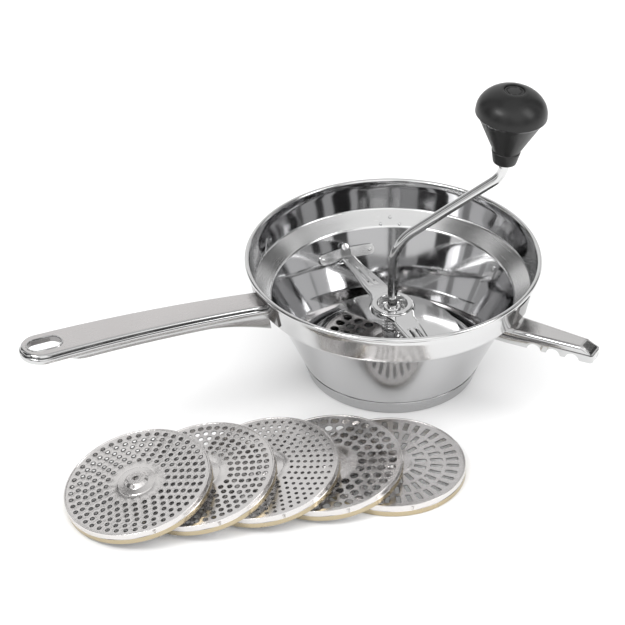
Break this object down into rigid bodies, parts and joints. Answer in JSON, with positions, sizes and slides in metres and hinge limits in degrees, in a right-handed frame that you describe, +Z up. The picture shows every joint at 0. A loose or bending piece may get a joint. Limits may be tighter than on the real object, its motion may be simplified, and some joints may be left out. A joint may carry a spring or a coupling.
{
  "type": "food mill",
  "caption": "Hand food mill: steel bowl with a long handle and a rest hook, a lift-out crossbar with sprung crank and spiral blade, a seated sieve disc and a fan of spare discs.",
  "frame": {"origin": "on the bowl's axis, in the plane that the foot ring stands on", "axes": "+Z up along the bowl's axis, +X towards the crank knob, -Y towards the fan of spare discs"},
  "size_m": [0.4533, 0.3683, 0.2614],
  "materials": {
    "polished_steel": "polished stainless steel",
    "satin_steel": "satin stainless steel",
    "spring_steel": "bright spring steel",
    "rod_steel": "polished round bar",
    "disc_steel": "bright pressed tinplate",
    "black_plastic": "smooth black moulded plastic"
  },
  "bodies": {
    "mill": {"bowl": "polished_steel", "foot_ring": "satin_steel", "handle_shell": "satin_steel", "handle_liner": "polished_steel", "handle_bracket": "polished_steel", "rest_hook": "polished_steel", "hook_bracket": "polished_steel"},
    "crossbar_unit": {"crossbar": "polished_steel", "hub_cup": "polished_steel", "wall_spring_rear": "spring_steel", "wall_spring_front": "spring_steel", "spring_clip_rear": "spring_steel", "spring_clip_front": "spring_steel", "clip_rivet_rear": "spring_steel", "clip_rivet_front": "spring_steel", "upper_washer": "spring_steel"},
    "spring_seat": {"coil_spring": "spring_steel", "lower_washer": "spring_steel"},
    "crank": {"crank_rod": "rod_steel", "stop_collar": "polished_steel", "stop_pin": "spring_steel", "blade_hub": "polished_steel", "blade": "polished_steel", "knob_push_nut": "polished_steel"},
    "knob": {"knob": "black_plastic", "knob_cap": "black_plastic"},
    "seated_disc": {"seated_disc": "disc_steel"},
    "shred_disc": {"shred_disc": "disc_steel"},
    "coarse_disc": {"coarse_disc": "disc_steel"},
    "rasp_disc": {"rasp_disc": "disc_steel"},
    "medium_disc": {"medium_disc": "disc_steel"},
    "fine_disc": {"fine_disc": "disc_steel"}
  },
  "joints": [
    {"name": "crossbar_lift", "type": "slide", "parent": "mill", "child": "crossbar_unit", "axis": [0, 0, 1], "range_m": [0, 0.2]},
    {"name": "shaft_float", "type": "slide", "parent": "crossbar_unit", "child": "spring_seat", "axis": [0, 0, 1], "range_m": [0, 0.003], "stiffness_N_per_m": 1500, "springref_m": -0.004, "deforming": ["coil_spring"]},
    {"name": "crank_turn", "type": "hinge", "parent": "spring_seat", "child": "crank", "pos_m": [0, 0, 0], "axis": [0, 0, 1], "continuous": true},
    {"name": "knob_spin", "type": "hinge", "parent": "crank", "child": "knob", "pos_m": [0.08662, 0, 0.19535], "axis": [0.0872, 0, 0.9962], "continuous": true},
    {"name": "disc_lift", "type": "slide", "parent": "mill", "child": "seated_disc", "axis": [0, 0, 1], "range_m": [0, 0.1]},
    {"name": "shred_disc_lift", "type": "slide", "parent": "mill", "child": "shred_disc", "axis": [0, -0.6, 0.8], "range_m": [0, 0.08]},
    {"name": "coarse_disc_lift", "type": "slide", "parent": "shred_disc", "child": "coarse_disc", "axis": [0, -0.6, 0.8], "range_m": [0, 0.06]},
    {"name": "rasp_disc_lift", "type": "slide", "parent": "coarse_disc", "child": "rasp_disc", "axis": [0, -0.6, 0.8], "range_m": [0, 0.06]},
    {"name": "medium_disc_lift", "type": "slide", "parent": "rasp_disc", "child": "medium_disc", "axis": [0, -0.6, 0.8], "range_m": [0, 0.06]},
    {"name": "fine_disc_lift", "type": "slide", "parent": "medium_disc", "child": "fine_disc", "axis": [0, -0.6, 0.8], "range_m": [0, 0.06]}
  ],
  "couplings": [
    {"joint": "disc_lift", "follows": "crossbar_lift", "ratio": 0.5}
  ]
}
